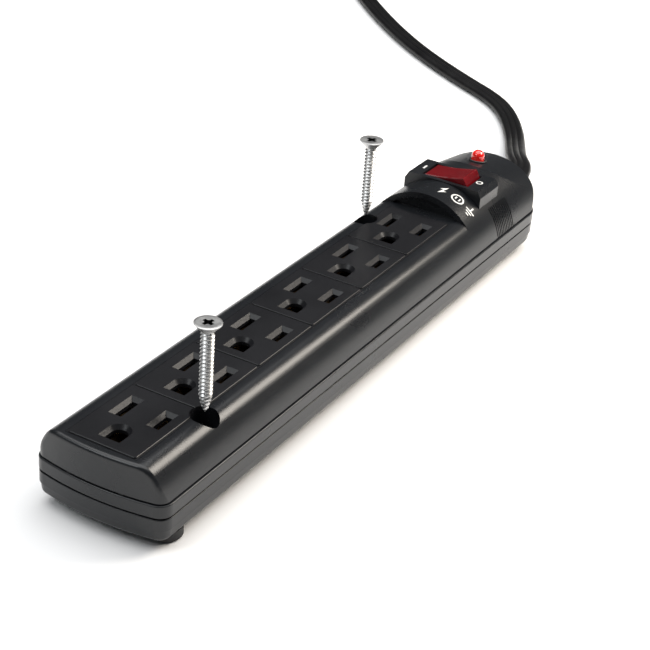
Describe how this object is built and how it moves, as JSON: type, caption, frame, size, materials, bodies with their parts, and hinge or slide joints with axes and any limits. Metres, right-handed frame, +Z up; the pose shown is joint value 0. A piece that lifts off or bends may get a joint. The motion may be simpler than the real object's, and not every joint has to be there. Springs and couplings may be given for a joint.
{
  "type": "surge protector outlet strip",
  "caption": "Black surge-protected outlet strip with rocker switch, pilot lamp, flat three-wire cord and plug, and countersunk wood screws poised over its mounting wells.",
  "frame": {"origin": "on the bench, under the middle of the housing's box", "axes": "+X along the strip to the cord end, +Y to the neutral-slot side, +Z up out of the outlets"},
  "size_m": [0.6893, 0.2797, 0.0584],
  "materials": {
    "housing_black": "satin moulded ABS, near black",
    "rocker_red": "translucent dark red polycarbonate",
    "lamp_red": "clear red lamp resin",
    "contact_brass": "pressed brass strip",
    "copper": "copper alloy with silver faces",
    "bright_steel": "nickel plated steel",
    "black_steel": "blackened steel",
    "rubber_black": "moulded rubber foot",
    "cord_black": "flexible PVC",
    "board_green": "glass-epoxy circuit board",
    "varistor_blue": "epoxy dipped disc",
    "part_grey": "small component body",
    "switch_black": "moulded nylon",
    "wire_black": "PVC insulation, black",
    "wire_white": "PVC insulation, white",
    "wire_green": "PVC insulation, green",
    "wire_red": "PVC insulation, red"
  },
  "bodies": {
    "housing": {"base_shell": "housing_black", "top_cover": "housing_black", "outlet_face_1": "housing_black", "outlet_face_2": "housing_black", "outlet_face_3": "housing_black", "outlet_face_4": "housing_black", "outlet_face_5": "housing_black", "outlet_face_6": "housing_black", "bus_cradles": "switch_black", "line_bus": "contact_brass", "neutral_bus": "contact_brass", "ground_bus": "contact_brass", "switch_body": "switch_black", "contact_post": "contact_brass", "load_terminal": "contact_brass", "line_terminal": "contact_brass", "bimetal_strip": "copper", "surge_board": "board_green", "varistor_line_neutral": "varistor_blue", "varistor_line_ground": "varistor_blue", "varistor_neutral_ground": "varistor_blue", "thermal_fuse": "part_grey", "lamp_resistor": "part_grey", "lamp_diode": "black_steel", "lamp_lens": "lamp_red", "surge_lead_line": "wire_black", "surge_lead_neutral": "wire_white", "surge_lead_ground": "wire_green", "line_supply_wire": "wire_black", "neutral_wire": "wire_white", "ground_wire": "wire_green", "line_load_wire": "wire_black", "lamp_wire_a": "wire_red", "lamp_wire_b": "wire_black", "housing_screws": "black_steel", "rubber_feet": "rubber_black", "strain_relief": "cord_black", "cord": "cord_black", "cord_coil": "cord_black", "cord_tail": "cord_black", "coil_tie": "cord_black", "plug_body": "cord_black", "plug_blade_line": "contact_brass", "plug_blade_neutral": "contact_brass", "plug_ground_pin": "contact_brass"},
    "rocker": {"rocker": "rocker_red", "rocker_plunger": "bright_steel", "rocker_spring": "bright_steel"},
    "moving_contact": {"contact_blade": "copper"},
    "screw_near": {"mounting_screw_near": "bright_steel"},
    "screw_far": {"mounting_screw_far": "bright_steel"}
  },
  "joints": [
    {"name": "rocker_tilt", "type": "hinge", "parent": "housing", "child": "rocker", "pos_m": [0.08985, 0, 0.0315], "axis": [1, 0, 0], "range_deg": [0, 19]},
    {"name": "contact_swing", "type": "hinge", "parent": "housing", "child": "moving_contact", "pos_m": [0.08985, 0, 0.0205], "axis": [1, 0, 0], "range_deg": [-11.4, 0]},
    {"name": "screw_near_drive", "type": "slide", "parent": "housing", "child": "screw_near", "axis": [0, 0, -1], "range_m": [0, 0.0508]},
    {"name": "screw_far_drive", "type": "slide", "parent": "housing", "child": "screw_far", "axis": [0, 0, -1], "range_m": [0, 0.0508]}
  ],
  "couplings": [
    {"joint": "contact_swing", "follows": "rocker_tilt", "ratio": -0.6}
  ]
}
